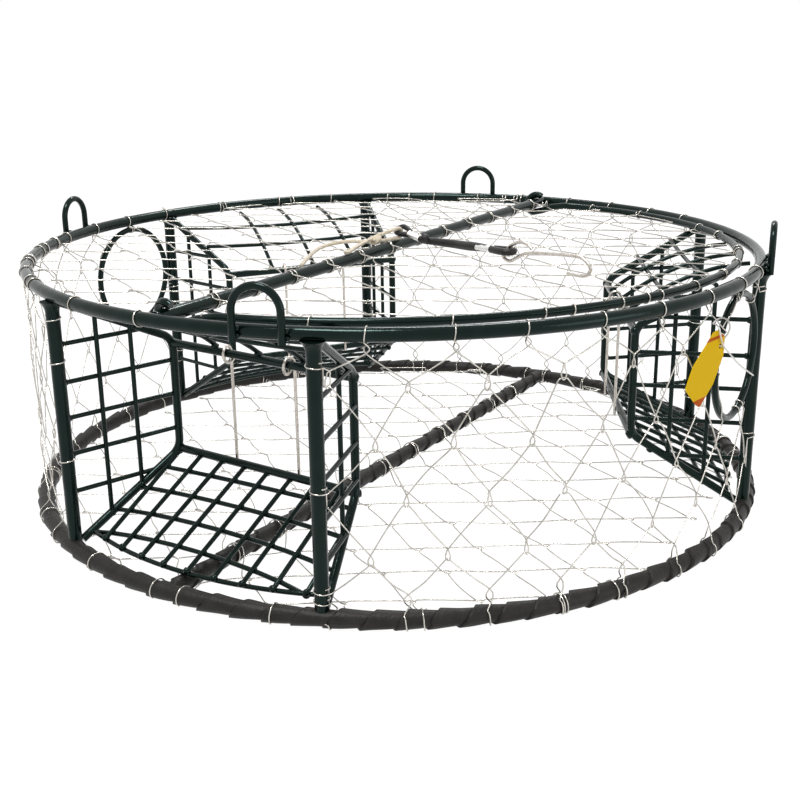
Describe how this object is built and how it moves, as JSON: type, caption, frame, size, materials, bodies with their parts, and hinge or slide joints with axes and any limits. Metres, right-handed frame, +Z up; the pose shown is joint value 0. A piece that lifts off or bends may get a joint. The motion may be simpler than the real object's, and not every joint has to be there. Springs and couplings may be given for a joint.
{
  "type": "crab trap",
  "caption": "Round low crab pot of coated steel rod with wire netting, ramped entry tunnels with one-way gates, escape rings and a hinged half lid held by a rubber strap and hook.",
  "frame": {"origin": "on the pot's axis at floor level, the bottom centre of its box", "axes": "+Z up, -Y towards the front tunnel's side that the picture shows, +X right, towards the right tunnel"},
  "size_m": [0.7722, 0.7742, 0.2903],
  "materials": {
    "green_coat": "dark green glossy plastic coat on steel rod, beaded over the welds",
    "net_wire": "thin stainless wire, knotted by hand, slightly tarnished",
    "steel_rod": "bright drawn stainless rod",
    "wrap_rubber": "matte grey-black rubber strip wound edge over edge",
    "strap_rubber": "black smooth stretched rubber rope",
    "ferrule": "crimped bright sleeve",
    "cotton": "laid untreated cotton twine",
    "tie_string": "white waxed string",
    "tag_card": "thin yellow coated card with plain orange bands"
  },
  "bodies": {
    "frame": {"top_ring": "green_coat", "bottom_ring": "green_coat", "top_crossbar": "green_coat", "bottom_crossbar": "green_coat", "front_post_left": "green_coat", "front_post_right": "green_coat", "front_side_frame_left": "green_coat", "front_side_frame_right": "green_coat", "front_top_bar": "green_coat", "front_sill_bar": "green_coat", "front_side_mesh_left": "green_coat", "front_side_mesh_right": "green_coat", "front_ramp": "green_coat", "front_roof": "green_coat", "right_post_left": "green_coat", "right_post_right": "green_coat", "right_side_frame_left": "green_coat", "right_side_frame_right": "green_coat", "right_top_bar": "green_coat", "right_sill_bar": "green_coat", "right_side_mesh_left": "green_coat", "right_side_mesh_right": "green_coat", "right_ramp": "green_coat", "right_roof": "green_coat", "back_post_left": "green_coat", "back_post_right": "green_coat", "back_side_frame_left": "green_coat", "back_side_frame_right": "green_coat", "back_top_bar": "green_coat", "back_sill_bar": "green_coat", "back_side_mesh_left": "green_coat", "back_side_mesh_right": "green_coat", "back_ramp": "green_coat", "back_roof": "green_coat", "escape_ring_right": "green_coat", "escape_ring_left": "green_coat", "lifting_loop_front": "green_coat", "lifting_loop_right": "green_coat", "lifting_loop_back": "green_coat", "lifting_loop_left": "green_coat", "top_net": "net_wire", "bottom_net_left": "net_wire", "bottom_net_right": "net_wire", "wall_net_front_to_right": "net_wire", "wall_net_right_to_back": "net_wire", "wall_net_back_to_front": "net_wire", "ring_wrap": "wrap_rubber", "crossbar_wrap": "wrap_rubber", "rot_cord": "cotton"},
    "lid": {"lid_frame": "green_coat", "lid_net": "net_wire", "ferrule_inner": "ferrule"},
    "strap": {"rubber_strap": "strap_rubber", "ferrule_outer": "ferrule"},
    "hook": {"hook": "steel_rod"},
    "front_gate": {"front_trigger": "steel_rod"},
    "right_gate": {"right_trigger": "steel_rod"},
    "back_gate": {"back_trigger": "steel_rod"},
    "tag": {"tag": "tag_card", "tag_tie": "tie_string"}
  },
  "joints": [
    {"name": "lid_hinge", "type": "hinge", "parent": "frame", "child": "lid", "pos_m": [0, 0, 0.2486], "axis": [-0.527, -0.8499, 0], "range_deg": [0, 105], "deforming": ["rubber_strap", "rot_cord"]},
    {"name": "strap_lift", "type": "hinge", "parent": "lid", "child": "strap", "pos_m": [0.0283, -0.0088, 0.256], "axis": [0.527, 0.8499, 0], "range_deg": [-120, 0], "deforming": ["rubber_strap"]},
    {"name": "hook_tilt", "type": "hinge", "parent": "strap", "child": "hook", "pos_m": [0.115, -0.1072, 0.261], "axis": [-0.7874, -0.6164, 0], "range_deg": [0, 90]},
    {"name": "front_gate_swing", "type": "hinge", "parent": "frame", "child": "front_gate", "pos_m": [-0.14019, -0.19726, 0.184], "axis": [0.8151, -0.5793, 0], "range_deg": [0, 80]},
    {"name": "right_gate_swing", "type": "hinge", "parent": "frame", "child": "right_gate", "pos_m": [0.24175, -0.01098, 0.184], "axis": [0.0454, 0.999, 0], "range_deg": [0, 80]},
    {"name": "back_gate_swing", "type": "hinge", "parent": "frame", "child": "back_gate", "pos_m": [-0.09959, 0.22056, 0.184], "axis": [-0.9114, -0.4115, 0], "range_deg": [0, 80]},
    {"name": "tag_swing", "type": "hinge", "parent": "frame", "child": "tag", "pos_m": [0.28204, -0.25825, 0.2245], "axis": [-0.6691, -0.7431, 0], "range_deg": [0, 60], "deforming": ["tag_tie"]}
  ]
}
